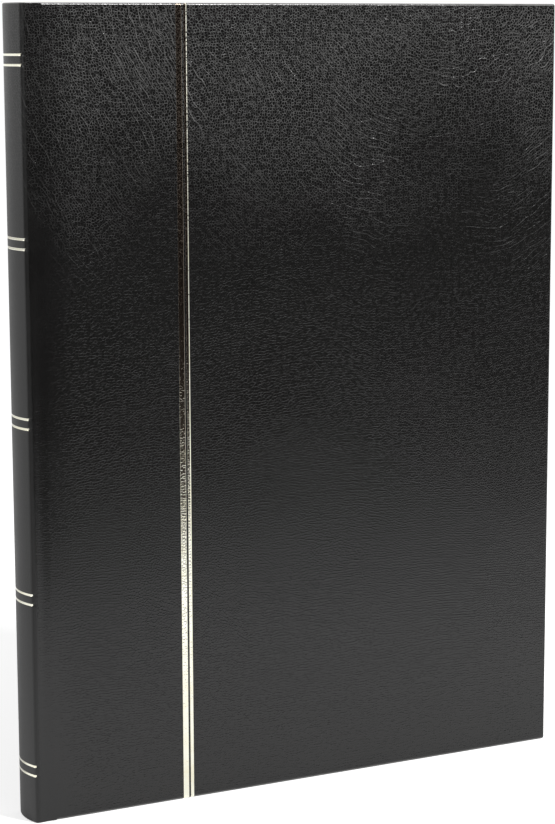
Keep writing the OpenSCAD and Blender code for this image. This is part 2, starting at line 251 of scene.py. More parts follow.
def makeLeatherGrain():
    g = grainShape
    tree, given, out = startGroup(
        "leatherGrain",
        [("Vector", "Vector", None), ("Pebble", "Float", 1.0)],
        [("Height", "Float"), ("Net", "Float"), ("Creases", "Float"), ("Rings", "Float")],
    )
    flat = given.outputs["Vector"]

    def pushes(size, detail, roughness):
        return moveBy(tree, "SUBTRACT", noiseAt(tree, flat, size, detail, roughness, "Color"), (0.5, 0.5, 0.5))

    # the skin was drawn by hand over the boards, so its grain wanders
    wander, sway, jitter = pushes(g["wander"], 1.0, 0.5), pushes(g["sway"], 2.0, 0.5), pushes(g["jitter"], 2.0, 0.6)

    def warped(large, middle, small):
        moved = flat
        for push, reach in ((wander, large), (sway, middle), (jitter, small)):
            moved = moveBy(tree, "ADD", moved, moveBy(tree, "SCALE", push, reach))
        return moved

    def patches(size, low, high, shift):
        place = moveBy(tree, "ADD", flat, shift)
        return fitRange(tree, noiseAt(tree, place, size, 2.0), low, high)

    def strands(lengthways, across, spacing, width, uneven, breaks):
        # thin raised lines side by side, their spacing uneven, each one fading in and out
        def laid(long, wide):
            return addNode(
                tree, "CombineXYZ", {},
                {"X": calc(tree, "MULTIPLY", lengthways, 1.0 / long), "Y": calc(tree, "MULTIPLY", across, 1.0 / wide)},
            ).outputs[0]

        push = noiseAt(tree, laid(spacing * 12.0, spacing * 3.5), 1.0, 2.0, 0.5)
        count = calc(tree, "ADD", calc(tree, "MULTIPLY", across, 1.0 / spacing), calc(tree, "MULTIPLY", push, uneven))
        shifted = calc(tree, "SUBTRACT", count, width * 2.2)
        line = fitRange(tree, calc(tree, "PINGPONG", count, 0.5), 0.0, width, 1.0, 0.0)
        beside = fitRange(tree, calc(tree, "PINGPONG", shifted, 0.5), 0.0, width * 1.8, 1.0, 0.0)
        kept = fitRange(tree, noiseAt(tree, laid(breaks * spacing, spacing * 0.8), 1.0, 1.0, 0.5), 0.40, 0.56)
        return calc(tree, "MULTIPLY", line, kept), calc(tree, "MULTIPLY", beside, kept)

    # wide arcs round the place where the skin was pulled, and flatter lines that cross them
    pulled = addNode(tree, "SeparateXYZ", {}, {0: moveBy(tree, "SUBTRACT", warped(30.0, 6.0, 0.35), g["pullFrom"])})
    turn = calc(tree, "MULTIPLY", calc(tree, "ARCTAN2", pulled.outputs["Y"], pulled.outputs["X"]), 200.0)
    squares = [calc(tree, "POWER", pulled.outputs[axis], 2.0) for axis in ("X", "Y")]
    reach = calc(tree, "POWER", calc(tree, "ADD", *squares), 0.5)
    crossed = addNode(tree, "SeparateXYZ", {}, {0: turned(tree, warped(40.0, 8.0, 0.35), g["levelTurn"])})

    tight = calc(tree, "DIVIDE", 1.0, given.outputs["Pebble"])
    cells = addNode(
        tree, "TexVoronoi", {"voronoi_dimensions": "2D", "feature": "DISTANCE_TO_EDGE"},
        {"Vector": moveBy(tree, "SCALE", warped(14.0, 1.1, 0.32), tight), "Scale": 1.0, "Randomness": 0.85},
    ).outputs["Distance"]
    broken = fitRange(tree, noiseAt(tree, flat, 1.7, 2.0, 0.5), *g["gaps"])
    ringed = patches(*g["ringPatches"])
    net = calc(tree, "POWER", fitRange(tree, cells, 0.0, g["edge"], 1.0, 0.0), g["edgePower"])
    net = calc(tree, "MULTIPLY", net, broken)
    net = calc(tree, "MULTIPLY", net, calc(tree, "SUBTRACT", 1.0, calc(tree, "MULTIPLY", ringed, 0.12)))
    rings = calc(tree, "MULTIPLY", strands(turn, reach, *g["ringLines"])[0], ringed)

    steep = strands(turn, reach, *g["steepLines"])
    level = strands(crossed.outputs["X"], crossed.outputs["Y"], *g["levelLines"])
    highUp = fitRange(tree, partOf(tree, flat, "Y"), *g["highUp"])
    steepHere = calc(tree, "MULTIPLY", patches(*g["steepPatches"]), highUp)
    levelHere = calc(tree, "MULTIPLY", patches(*g["levelPatches"]), highUp)
    levelHere = calc(tree, "MULTIPLY", levelHere, g["levelWeak"])
    creases, valleys = [
        calc(tree, "MAXIMUM", calc(tree, "MULTIPLY", one, steepHere), calc(tree, "MULTIPLY", two, levelHere))
        for one, two in zip(steep, level)
    ]
    creases = calc(tree, "MULTIPLY", creases, fitRange(tree, broken, 0.10, 1.0, 0.5, 1.0))
    # beside each crease the net and the rings are lowered: flatter relief, and a painted shade where they carry the
    # leatherette's painted highlight
    outside = calc(tree, "SUBTRACT", 1.0, calc(tree, "MULTIPLY", valleys, g["valley"]))
    parts = {
        "net": calc(tree, "MULTIPLY", net, outside), "rings": calc(tree, "MULTIPLY", rings, outside),
        "creases": creases, "valleys": valleys,
        "swell": noiseAt(tree, flat, 6.5, 3.0, 0.55), "fine": noiseAt(tree, flat, 0.42, 2.0, 0.6),
    }
    height = 0.0
    for name, share in g["shares"].items():
        height = calc(tree, "ADD", height, calc(tree, "MULTIPLY", parts[name], share))
    for label, value in (("Height", height), ("Net", parts["net"]), ("Creases", creases), ("Rings", parts["rings"])):
        tree.links.new(value, out.inputs[label])
    return tree


def makeClothWeave():
    tree, given, out = startGroup(
        "clothWeave", [("Vector", "Vector", None), ("Thread", "Float", 0.42)], [("Height", "Float"), ("Shade", "Float")]
    )
    spot = given.outputs["Vector"]
    turn = calc(tree, "DIVIDE", math.pi, given.outputs["Thread"])
    across = calc(tree, "SINE", calc(tree, "MULTIPLY", partOf(tree, spot, "X"), turn))
    upward = calc(tree, "SINE", calc(tree, "MULTIPLY", partOf(tree, spot, "Z"), turn))
    over = fitRange(tree, calc(tree, "MULTIPLY", across, upward), -0.7, 0.7)
    uneven = noiseAt(tree, spot, 2.4, 3.0, 0.6)
    height = calc(tree, "ADD", calc(tree, "MULTIPLY", over, 0.7), calc(tree, "MULTIPLY", uneven, 0.3))
    tree.links.new(height, out.inputs["Height"])
    tree.links.new(calc(tree, "MULTIPLY", over, uneven), out.inputs["Shade"])
    return tree


def makePaperFibre():
    tree, given, out = startGroup(
        "paperFibre", [("Vector", "Vector", None), ("Fibre", "Float", 0.7)], [("Height", "Float"), ("Shade", "Float")]
    )
    flat = given.outputs["Vector"]
    bent = moveBy(tree, "ADD", flat, moveBy(tree, "SCALE", noiseAt(tree, flat, 3.0, 2.0, 0.5, "Color"), 1.6))
    tight = calc(tree, "DIVIDE", 1.0, given.outputs["Fibre"])
    strands = addNode(
        tree, "TexNoise", {},
        {"Vector": moveBy(tree, "MULTIPLY", bent, (0.35, 1.0, 1.0)), "Scale": tight, "Detail": 4.0, "Roughness": 0.65},
    ).outputs["Fac"]
    cloudy = noiseAt(tree, flat, 9.0, 4.0, 0.6)
    height = calc(tree, "ADD", calc(tree, "MULTIPLY", strands, 0.75), calc(tree, "MULTIPLY", cloudy, 0.25))
    shade = calc(tree, "ADD", calc(tree, "MULTIPLY", strands, 0.5), calc(tree, "MULTIPLY", cloudy, 0.5))
    tree.links.new(height, out.inputs["Height"])
    tree.links.new(fitRange(tree, shade, 0.33, 0.67), out.inputs["Shade"])
    return tree


def makeLooseDust():
    tree, given, out = startGroup(
        "looseDust",
        [("Vector", "Vector", None), ("Spacing", "Float", 9.0), ("Grain", "Float", 0.16)],
        [("Mask", "Float")],
    )
    scale = calc(tree, "DIVIDE", 1.0, given.outputs["Spacing"])
    spots = addNode(
        tree, "TexVoronoi", {"feature": "F1"}, {"Vector": given.outputs["Vector"], "Scale": scale, "Randomness": 1.0}
    )
    reach = calc(tree, "MULTIPLY", spots.outputs["Distance"], given.outputs["Spacing"])
    kept = fitRange(tree, partOf(tree, spots.outputs["Color"], "X"), 0.55, 0.95)  # most cells hold no speck
    speck = calc(tree, "LESS_THAN", reach, calc(tree, "MULTIPLY", kept, given.outputs["Grain"]))
    tree.links.new(speck, out.inputs["Mask"])
    return tree


leatherGrain = makeLeatherGrain()
clothWeave = makeClothWeave()
paperFibre = makePaperFibre()
looseDust = makeLooseDust()
print("shader groups made")


# materials

leatheretteLook = {
    "dark": (0.0036, 0.0036, 0.0035, 1.0),
    "light": (0.0056, 0.0055, 0.0054, 1.0),
    "middle": (0.0068, 0.0067, 0.0066, 1.0),  # the skin is a little greyer half way up
    # painted highlight colours of the raised lines and of the creases
    "lines": (0.104, 0.1035, 0.102, 1.0),
    "creases": (0.19, 0.189, 0.185, 1.0),
    # paler rounded edges of the boards: wear, and a painted highlight along them
    "rubbedAndHighlit": (0.135, 0.134, 0.130, 1.0),
    # painted highlight: how far up the raised lines are painted paler, and by how much, with clouds in that height
    "highlightHead": (205.0, 300.0, 0.0, 0.85),
    "highlightRest": (60.0, 225.0, 0.02, 0.07),
    "clouds": (0.30, 0.66, -14.0, 14.0),
    "netFrom": (0.03, 0.80),
    "wornAndHighlitFrom": (0.25, 0.6, 0.35, 1.0),
    "spineRough": 0.20,
    "roughLow": 0.19,
    "roughHigh": 0.24,
    "roughBlotch": 0.10,
    "halfway": (70.0, 140.0, 195.0, 250.0),  # where the greyer skin comes in and goes out again
    "pebble": 1.1,  # width of a grain cell
    "dust": (0.5, 0.5, 0.48, 1.0),
    "depth": 0.00008,
}


def attributeOf(tree, name):
    return addNode(tree, "Attribute", {"attribute_name": name}).outputs["Fac"]


def makeLeatherette():
    look = leatheretteLook
    made, tree, shader = startMaterial("leatherette", {"Specular IOR Level": 0.6, "IOR": 1.5})
    flat = mapInMillimetres(tree)
    grain = useGroup(tree, leatherGrain, {"Vector": flat, "Pebble": look["pebble"]})
    depth, rubAndHighlight, satin = (attributeOf(tree, name) for name in ("grainDepth", "rubAndHighlight", "satin"))
    blotch = noiseAt(tree, flat, 24.0, 3.0, 0.6)
    # painted highlight: the raised lines and the creases of the grain are painted paler, most towards the head of the
    # cover
    cloud = fitRange(tree, noiseAt(tree, flat, 80.0, 3.0, 0.55), *look["clouds"])
    height = calc(tree, "ADD", partOf(tree, flat, "Y"), cloud)
    paintedHighlight = calc(tree, "ADD", fitRange(tree, height, *look["highlightHead"]), fitRange(tree, height, *look["highlightRest"]))
    paintedHighlight = calc(tree, "MULTIPLY", paintedHighlight, depth)
    base = mixColour(tree, fitRange(tree, blotch, 0.3, 0.7), look["dark"], look["light"])
    low, full, fading, gone = look["halfway"]
    halfway = calc(tree, "MULTIPLY", fitRange(tree, height, low, full), fitRange(tree, height, fading, gone, 1.0, 0.0))
    base = mixColour(tree, calc(tree, "MULTIPLY", halfway, depth), base, look["middle"])
    netted = calc(tree, "MAXIMUM", grain.outputs["Net"], grain.outputs["Rings"])
    base = mixColour(tree, calc(tree, "MULTIPLY", fitRange(tree, netted, *look["netFrom"]), paintedHighlight), base, look["lines"])
    base = mixColour(tree, calc(tree, "MULTIPLY", grain.outputs["Creases"], paintedHighlight), base, look["creases"])
    # the rounded edges and the fore edge are painted paler: wear, and a painted highlight
    wornAndHighlit = calc(tree, "MULTIPLY", rubAndHighlight, fitRange(tree, noiseAt(tree, flat, 9.0, 3.0, 0.6), *look["wornAndHighlitFrom"]))
    base = mixColour(tree, wornAndHighlit, base, look["rubbedAndHighlit"])
    specks = useGroup(tree, looseDust, {"Vector": flat, "Spacing": 16.0, "Grain": 0.24}).outputs["Mask"]
    base = mixColour(tree, calc(tree, "MULTIPLY", specks, 0.5), base, look["dust"])
    tree.links.new(base, shader.inputs["Base Color"])
    rough = fitRange(tree, netted, 0.0, 1.0, look["roughHigh"], look["roughLow"])
    rough = calc(tree, "ADD", rough, calc(tree, "MULTIPLY", satin, look["spineRough"]))
    uneven = calc(tree, "MULTIPLY", calc(tree, "SUBTRACT", blotch, 0.5), look["roughBlotch"])
    tree.links.new(calc(tree, "ADD", rough, uneven), shader.inputs["Roughness"])
    bumpOf(tree, shader, calc(tree, "MULTIPLY", grain.outputs["Height"], depth), look["depth"])
    return made


goldLook = {
    "gold": (1.0, 0.985, 0.86, 1.0), "deep": (0.96, 0.92, 0.72, 1.0),
    "bare": (0.018, 0.012, 0.010, 1.0),  # the skin where the foil has come off
    # painted dark reflection on the foil towards the head
    "darkReflection": (0.38, 0.33, 0.27, 1.0), "darkReflectionFrom": (110.0, 200.0),
    "flatterFrom": (150.0, 215.0), "headBump": 0.4,
    "coverFrom": (25.0, 30.0),  # the bands on the spine keep all their foil
    "flakesAndReflectionUp": (90.0, 290.0, -0.12, 0.03), "flakesAndReflectionFrom": (0.56, 0.62),  # where the foil has broken, more towards the head: wear, and a painted dark reflection
    "rough": 0.05, "depth": 0.00004,
}


def makeGoldFoil():
    look = goldLook
    made, tree, shader = startMaterial("goldFoil", {})
    flat = mapInMillimetres(tree)
    grain = useGroup(tree, leatherGrain, {"Vector": flat, "Pebble": leatheretteLook["pebble"]})
    patchy = noiseAt(tree, flat, 7.0, 4.0, 0.65)
    base = mixColour(tree, fitRange(tree, patchy, 0.35, 0.75), look["gold"], look["deep"])
    # on the cover the foil is painted darker towards the head, a painted dark reflection, but for the steep bank of the
    # narrow line
    up = partOf(tree, flat, "Y")
    onCover = fitRange(tree, partOf(tree, flat, "X"), *look["coverFrom"])
    offBank = calc(tree, "SUBTRACT", 1.0, attributeOf(tree, "bank"))
    darkReflectionMask = calc(tree, "MULTIPLY", fitRange(tree, up, *look["darkReflectionFrom"]), calc(tree, "MULTIPLY", onCover, offBank))
    base = mixColour(tree, darkReflectionMask, base, look["darkReflection"])
    # there it has broken over the grain too, in bare dark patches that are partly wear and partly a painted dark
    # reflection, and lies flatter
    flakesAndReflection = calc(tree, "ADD", noiseAt(tree, flat, 0.8, 3.0, 0.7), fitRange(tree, up, *look["flakesAndReflectionUp"]))
    flakesAndReflection = calc(tree, "MULTIPLY", fitRange(tree, flakesAndReflection, *look["flakesAndReflectionFrom"]), onCover)
    base = mixColour(tree, flakesAndReflection, base, look["bare"])
    tree.links.new(base, shader.inputs["Base Color"])
    tree.links.new(calc(tree, "SUBTRACT", 1.0, flakesAndReflection), shader.inputs["Metallic"])
    tree.links.new(fitRange(tree, patchy, 0.3, 0.7, look["rough"], look["rough"] + 0.08), shader.inputs["Roughness"])
    flatter = fitRange(tree, up, *look["flatterFrom"], 1.0, look["headBump"])
    bumpOf(tree, shader, calc(tree, "MULTIPLY", grain.outputs["Height"], flatter), look["depth"])
    return made


greyboardLook = {
    "dark": (0.16, 0.15, 0.13, 1.0), "light": (0.30, 0.28, 0.25, 1.0), "fibre": 0.5, "rough": 0.85, "depth": 0.00006,
}
endpaperLook = {
    "dark": (0.010, 0.010, 0.0105, 1.0), "light": (0.019, 0.019, 0.020, 1.0),
    "fibre": 0.45, "rough": 0.62, "depth": 0.00003,
}
cardLook = {
    "dark": (0.0085, 0.0085, 0.0090, 1.0), "light": (0.0165, 0.0165, 0.0175, 1.0),
    "fibre": 0.35, "rough": 0.66, "depth": 0.00003,
}
glassineLook = {
    "dark": (0.78, 0.77, 0.70, 1.0), "light": (0.90, 0.89, 0.84, 1.0), "fibre": 0.9, "rough": 0.38, "depth": 0.00002,
    "clear": 0.46,  # how solid the thin paper looks
    "specks": 60.0,
}


def makeFibrous(name, look):
    made, tree, shader = startMaterial(name, {"Specular IOR Level": 0.4})
    spot = objectInMillimetres(tree)
    fibre = useGroup(tree, paperFibre, {"Vector": spot, "Fibre": look["fibre"]})
    base = mixColour(tree, fibre.outputs["Shade"], look["dark"], look["light"])
    dust = useGroup(tree, looseDust, {"Vector": spot, "Spacing": look.get("specks", 14.0), "Grain": 0.14})
    base = mixColour(tree, calc(tree, "MULTIPLY", dust.outputs["Mask"], 0.4), base, (0.4, 0.4, 0.38, 1.0))
    tree.links.new(base, shader.inputs["Base Color"])
    rough = fitRange(tree, fibre.outputs["Shade"], 0.0, 1.0, look["rough"] - 0.05, look["rough"] + 0.06)
    tree.links.new(rough, shader.inputs["Roughness"])
    bumpOf(tree, shader, fibre.outputs["Height"], look["depth"])
    if "clear" in look:
        cloud, clear = noiseAt(tree, spot, 5.0, 4.0, 0.6), look["clear"]
        tree.links.new(fitRange(tree, cloud, 0.3, 0.7, clear - 0.05, clear + 0.05), shader.inputs["Alpha"])
    return made


linenLook = {"dark": (0.010, 0.010, 0.012, 1.0), "light": (0.038, 0.038, 0.042, 1.0), "thread": 0.42, "depth": 0.00007}


def makeLinen():
    look = linenLook
    constants = {"Specular IOR Level": 0.3, "Sheen Weight": 0.12, "Sheen Roughness": 0.5}
    made, tree, shader = startMaterial("linen", constants)
    weave = useGroup(tree, clothWeave, {"Vector": objectInMillimetres(tree), "Thread": look["thread"]})
    tree.links.new(mixColour(tree, weave.outputs["Shade"], look["dark"], look["light"]), shader.inputs["Base Color"])
    tree.links.new(fitRange(tree, weave.outputs["Height"], 0.0, 1.0, 0.92, 0.74), shader.inputs["Roughness"])
    bumpOf(tree, shader, weave.outputs["Height"], look["depth"])
    return made


filmLook = {"tint": (0.93, 0.95, 0.96, 1.0), "plain": (1.0, 1.0, 1.0, 1.0), "rough": (0.03, 0.09), "depth": 0.00012}


def makeFilm():
    look = filmLook
    made, tree, shader = startMaterial("clearFilm", {"IOR": 1.45, "Transmission Weight": 1.0})
    spot = objectInMillimetres(tree)
    haze = noiseAt(tree, spot, 12.0, 3.0, 0.6)
    tree.links.new(mixColour(tree, haze, look["tint"], look["plain"]), shader.inputs["Base Color"])
    tree.links.new(fitRange(tree, haze, 0.3, 0.7, *look["rough"]), shader.inputs["Roughness"])
    waves = noiseAt(tree, moveBy(tree, "MULTIPLY", spot, (0.35, 1.0, 1.0)), 9.0, 2.0, 0.5)
    bumpOf(tree, shader, waves, look["depth"])
    return made


leatherette = makeLeatherette()
goldFoil = makeGoldFoil()
greyboard = makeFibrous("greyboard", greyboardLook)
endpaper = makeFibrous("endpaper", endpaperLook)
blackCard = makeFibrous("blackCard", cardLook)
glassine = makeFibrous("glassine", glassineLook)
linen = makeLinen()
clearFilm = makeFilm()
print("materials made")


def dress(piece, material):
    piece.data.materials.clear()
    piece.data.materials.append(material)


finishOf = (
    ("_leatherette", leatherette), ("_gold_bands", goldFoil), ("_gold_lines", goldFoil),
    ("_board", greyboard), ("spacer_strips", greyboard), ("_lining", linen), ("_linen", linen),
    ("guard_strips", blackCard), ("_card", blackCard), ("_strips", clearFilm), ("interleaf", glassine),
    ("endpaper", endpaper), ("pastedown", endpaper),
)
for nodeName, part in nodes.items():
    for ending, material in finishOf:
        if ending in nodeName:
            dress(part, material)
            break
print("packed parts dressed:", len(nodes))


# leatherette of the case

caseShape = {
    # rounded spine: middle and radii of its arcs, and the angles at which they end
    "arcMiddle": -93.075, "arcRadius": 21.925, "arcInside": 19.925, "touch": 201.41, "insideTouch": 200.21,
    "shoulder": (-112.464, -7.6, 1.1),  # middle of the shoulder's rounding, and its radius
    "shoulderEnd": (-112.0, -111.6), "shoulderInside": -8.05,
    "grooveFrom": -111.173, "grooveDepth": 0.12, "grooveSkin": 0.55,
    "edgeRound": 0.9, "spineRound": 0.55, "grooveRound": 0.26,
    "headDip": 0.04,  # the joint sits a little lower than the boards at head and tail
    "wobble": 0.035,
}
lineShape = {
    "wide": (-52.2, -49.9), "narrow": (-49.1, -47.8), "press": 0.13, "bevel": 0.10, "lift": 0.03,
    "bank": 0.22,  # width and depth of the steep far edge of the narrow line
}
bandShape = {"lowest": 20.3, "count": 5, "apart": 3.7, "high": 0.86, "press": 0.07, "bevel": 0.14, "lift": 0.025}


def bandHeights():
    b = bandShape
    step = (albumSize["top"] - 2 * b["lowest"]) / (b["count"] - 1)
    return [b["lowest"] + i * step + side * b["apart"] / 2 for i in range(b["count"]) for side in (-1, 1)]


def pressAt(value, low, high, shape):
    # how far the foil is pressed in at this place across a line that runs from low to high
    bevel = shape["bevel"]
    return shape["press"] * easeStep(value, low - 0.05, low + bevel) * (1 - easeStep(value, high - bevel, high + 0.05))


def linePress(x):
    # the narrow line is pressed in deeper towards its far edge, where it ends in a steep bank
    press, bevel, bank = (lineShape[k] for k in ("press", "bevel", "bank"))
    low, high = lineShape["narrow"]
    start = low + 2 * bevel
    deeper = (bank - press) * min(1.0, max(0.0, (x - start) / (high - bank - start)))
    rise = min(1.0, max(0.0, (high - x) / bank))
    narrow = (press * easeStep(x, low - 0.05, low + bevel) + deeper) * rise
    return max(narrow, pressAt(x, *lineShape["wide"], lineShape))


def bandPress(z):
    half = bandShape["high"] / 2
    return max(pressAt(z, middle - half, middle + half, bandShape) for middle in bandHeights())


def stopsAcross(low, high, bevel):
    # where a line or band that runs from low to high needs its rows of points
    upward = {low - 0.3, low - 0.05, low + bevel * 0.5, low + bevel}
    return upward | {high - bevel, high - bevel * 0.5, high + 0.05, high + 0.3}


def caseSection():
    # pairs of points on the outside and the inside of the case, from the middle of the spine to the fore edge
    s, a = caseShape, albumSize
    face, inner, start, fore, r = -a["face"], -a["foldIn"], a["boardStart"], a["fore"], s["edgeRound"]
    pairs = []
    outside = arcPoints(s["arcMiddle"], 0, s["arcRadius"], 180, s["touch"], 26)
    inside = arcPoints(s["arcMiddle"], 0, s["arcInside"], 180, s["insideTouch"], 26)
    for o, i in zip(outside, inside):
        pairs.append((o, i, s["spineRound"], 0.0))
    cutX, cutY = inside[-1]
    rounding = arcPoints(*s["shoulder"], s["touch"], 270, 9)[1:] + [(x, face) for x in s["shoulderEnd"]]
    for k, o in enumerate(rounding):
        t = (k + 1) / len(rounding)
        bend = s["spineRound"] + (s["grooveRound"] - s["spineRound"]) * t
        pairs.append((o, (cutX + 0.02 * t, cutY + (s["shoulderInside"] - cutY) * t), bend, 0.0))
    for x in along(s["grooveFrom"], start, 0.16):
        u = (x - s["grooveFrom"]) / (start - s["grooveFrom"])
        sink = s["grooveDepth"] * math.sin(math.pi * u ** 0.85) ** 1.6  # deepest near the spine
        dip = s["headDip"] * math.sin(math.pi * u)
        pairs.append(((x, face + sink), (x, face + s["grooveSkin"] + sink * 0.9), s["grooveRound"], dip))
    # round the edge of the board, out of sight behind the skin
    for out, across, deep in ((0.05, 0.0, -7.6), (0.12, 0.0, -6.9), (0.2, 0.0, -6.3), (0.4, 0.12, inner - 0.08)):
        bend = s["grooveRound"] + (r - s["grooveRound"]) * easeStep(start + out, start, start + 0.6)
        pairs.append(((start + out, face), (start + across, deep), bend, 0.0))
    stops = {round(x, 3) for x in along(start + 0.8, fore - r - 0.6, 4.0)}
    for low, high in (lineShape["wide"], lineShape["narrow"]):
        stops -= {x for x in stops if low - 0.5 < x < high + 0.5}
        stops |= stopsAcross(low, high, lineShape["bevel"])
    high, bank = lineShape["narrow"][1], lineShape["bank"]
    stops |= {high - bank - 0.04, high - bank + 0.01, high - bank * 0.5, high - 0.01}
    for x in sorted(stops):
        pairs.append(((x, face), (x, inner), r, 0.0))
    for o, i in zip(arcPoints(fore - r, face + r, r, 270, 360, 8), arcPoints(fore - r, inner - r, r, 90, 0, 8)):
        pairs.append((o, i, r, 0.0))
    pairs.append(((fore, (face + inner) / 2 - 0.02), (fore, (face + inner) / 2 + 0.02), r, 0.0))
    return pairs


def caseLoop():
    # the same points as one loop, each with the direction into the case and the run along the skin
    pairs = caseSection()
    spots = [(o, r, d) for o, i, r, d in pairs] + [(i, r, d) for o, i, r, d in reversed(pairs)]
    loop, run = [], 0.0
    for k, ((x, y), r, dip) in enumerate(spots):
        before = spots[k - 1][0] if k else (spots[1][0][0], -spots[1][0][1])
        after = spots[k + 1][0] if k + 1 < len(spots) else (spots[k - 1][0][0], -spots[k - 1][0][1])
        one = Vector((x - before[0], y - before[1])).normalized()
        two = Vector((after[0] - x, after[1] - y)).normalized()
        way = (one + two).normalized()
        if k:
            run += math.dist((x, y), spots[k - 1][0])
        loop.append({"at": (x, y), "in": (-way.y, way.x), "round": r, "dip": dip, "run": run, "outer": k < len(pairs)})
    return loop


def skinPoint(spot, row, press=0.0, further=0.0):
    # row is ("low", degrees), ("mid", z) or ("high", degrees): the rounding below, the face, the rounding above
    kind, value = row
    (x, y), (nx, ny) = spot["at"], spot["in"]
    if kind == "mid":
        return (x + nx * press, y + ny * press, value), value
    a, r = math.radians(value), spot["round"]
    deep = r * (1 - math.cos(a)) + press * math.cos(a) + further
    down = r * (1 - math.sin(a)) + press * math.sin(a) + spot["dip"]
    end = r - r * a - further
    if kind == "low":
        return (x + nx * deep, y + ny * deep, down), end
    return (x + nx * deep, y + ny * deep, albumSize["top"] - down), albumSize["top"] - end


def caseRows():
    bends = (90, 72, 54, 36, 18, 0)
    heights = {round(z, 3) for z in along(1.4, albumSize["top"] - 1.4, 5.0)}
    half = bandShape["high"] / 2
    for z in bandHeights():
        heights -= {h for h in heights if abs(h - z) < 1.2}
        heights |= stopsAcross(z - half, z + half, bandShape["bevel"])
    return [("low", d) for d in bends] + [("mid", z) for z in sorted(heights)] + [("high", d) for d in reversed(bends)]


loop = caseLoop()
rows = caseRows()
shoulderRun = next(s["run"] for s in loop if s["at"][0] > caseShape["shoulder"][0] and s["outer"])
boardRun = next(s["run"] for s in loop if s["at"][0] >= albumSize["boardStart"] and s["outer"])


def wobbleAt(spot, z):
    # boards are never quite flat under the skin
    x, y = spot["at"]
    start = albumSize["boardStart"]
    if not spot["outer"] or x < start + 3 or x > albumSize["fore"] - 3:
        return 0.0
    return caseShape["wobble"] * (1 + noise.noise(Vector((x / 26, z / 30, y)))) * easeStep(x, start + 3, start + 12)


# how deep the grain stands: pressed flat inside and over the spine, and full on the board
grainLevel = {"inside": 0.45, "spine": 0.30, "joint": 0.10, "board": 0.60, "roundings": 0.4}


def makeWrap(name, side):
    # side is 1 for the front half of the case and -1 for the back half, met in the middle of the spine
    g = grainLevel
    points, uvs, depth, rubAndHighlight, satin = [], [], [], [], []
    for row in rows:
        z = row[1] if row[0] == "mid" else (0.0 if row[0] == "low" else albumSize["top"])
        for spot in loop:
            press = 0.0
            if spot["outer"]:
                if side == 1 and spot["run"] > boardRun:
                    press = linePress(spot["at"][0])
                if row[0] == "mid" and spot["run"] <= shoulderRun + 0.001:
                    press = bandPress(z)
                press += wobbleAt(spot, z) if row[0] == "mid" else 0.0
            (x, y, h), v = skinPoint(spot, row, press)
            points.append((x, y * side, h))
            uvs.append((spot["run"] if side == 1 else -spot["run"], v))
            run = spot["run"]
            level = g["inside"]
            if spot["outer"]:
                level = g["spine"] + g["joint"] * easeStep(run, shoulderRun, shoulderRun + 4)
                level += g["board"] * easeStep(run, boardRun - 2, boardRun + 14)
            depth.append(level if row[0] == "mid" else level * g["roundings"])
            # the rounded edges and the fore edge are marked to be painted paler: wear, and a painted highlight
            rounded = row[0] != "mid" and row[1] > 8
            foreEdge = spot["outer"] and spot["at"][0] > albumSize["fore"] - 0.5
            rubAndHighlight.append(1.0 if rounded or foreEdge else 0.0)
            satin.append(1 - easeStep(run, shoulderRun - 0.3, shoulderRun + 0.7) if spot["outer"] else 0.0)
    count = len(loop)
    faces = gridFaces(len(rows), count)
    for start in (0, (len(rows) - 1) * count):
        for i in range(count // 2 - 1):
            faces.append((start + i, start + i + 1, start + count - 2 - i, start + count - 1 - i))
    piece = buildMesh(name, points, faces, uvs, {"grainDepth": depth, "rubAndHighlight": rubAndHighlight, "satin": satin}, 60)
    dress(piece, leatherette)
    return piece


frontWrap = makeWrap("frontWrap", 1)
backWrap = makeWrap("backWrap", -1)
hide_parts("front_leatherette", "spine_leatherette")
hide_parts("back_leatherette", "spine_leatherette")
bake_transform(frontWrap)
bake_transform(backWrap)
print("leatherette wrapped:", len(frontWrap.data.vertices), "points a half")


# stamped gold

def pointsAcross(key):
    low, high = lineShape[key]
    bevel, bank = lineShape["bevel"], lineShape["bank"]
    across = [low, low + bevel * 0.35, low + bevel * 0.7, low + bevel * 1.1]
    across += along(low + bevel * 1.6, high - bevel * 1.6, 0.3)
    if key == "narrow":
        top = high - bank
        across = [x for x in across if x < top - 0.1]
        return across + [top - 0.06, top, top + 0.03, high - bank * 0.5, high - 0.03, high]
    return across + [high - bevel * 1.1, high - bevel * 0.7, high - bevel * 0.35, high]


def makeFrontLines():
    points, faces, uvs, banks = [], [], [], []
    # both ends are folded over the edges of the board
    course = [("low", 90, 0.9), ("low", 90, 0.45)] + [(kind, value, 0.0) for kind, value in rows]
    course += [("high", 90, 0.45), ("high", 90, 0.9)]
    base = next(s for s in loop if s["at"][0] > 0)  # any place on the flat of the cover
    bankFrom = lineShape["narrow"][1] - lineShape["bank"] - 0.01
    for key in ("wide", "narrow"):
        across = pointsAcross(key)
        outside, inside, maps = [], [], []
        for kind, value, further in course:
            z = value if kind == "mid" else 0.0
            for x in across:
                spot = dict(base, at=(x, -albumSize["face"]))
                sunk = linePress(x) + (wobbleAt(spot, z) if kind == "mid" else 0.0)
                outside.append(skinPoint(spot, (kind, value), sunk - lineShape["lift"], further)[0])
                place, v = skinPoint(spot, (kind, value), sunk + 0.04, further)
                inside.append(place)
                maps.append((x - albumSize["boardStart"] + boardRun, v))
        faces += slabFaces(len(course), len(across), len(points))
        points += outside + inside
        uvs += maps * 2
        banks += [1.0 if key == "narrow" and x > bankFrom else 0.0 for x in across] * len(course) * 2
    piece = buildMesh("frontLines", points, faces, uvs, {"bank": banks}, 50)
    dress(piece, goldFoil)
    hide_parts("front_gold_lines")
    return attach(piece, "front_cover")


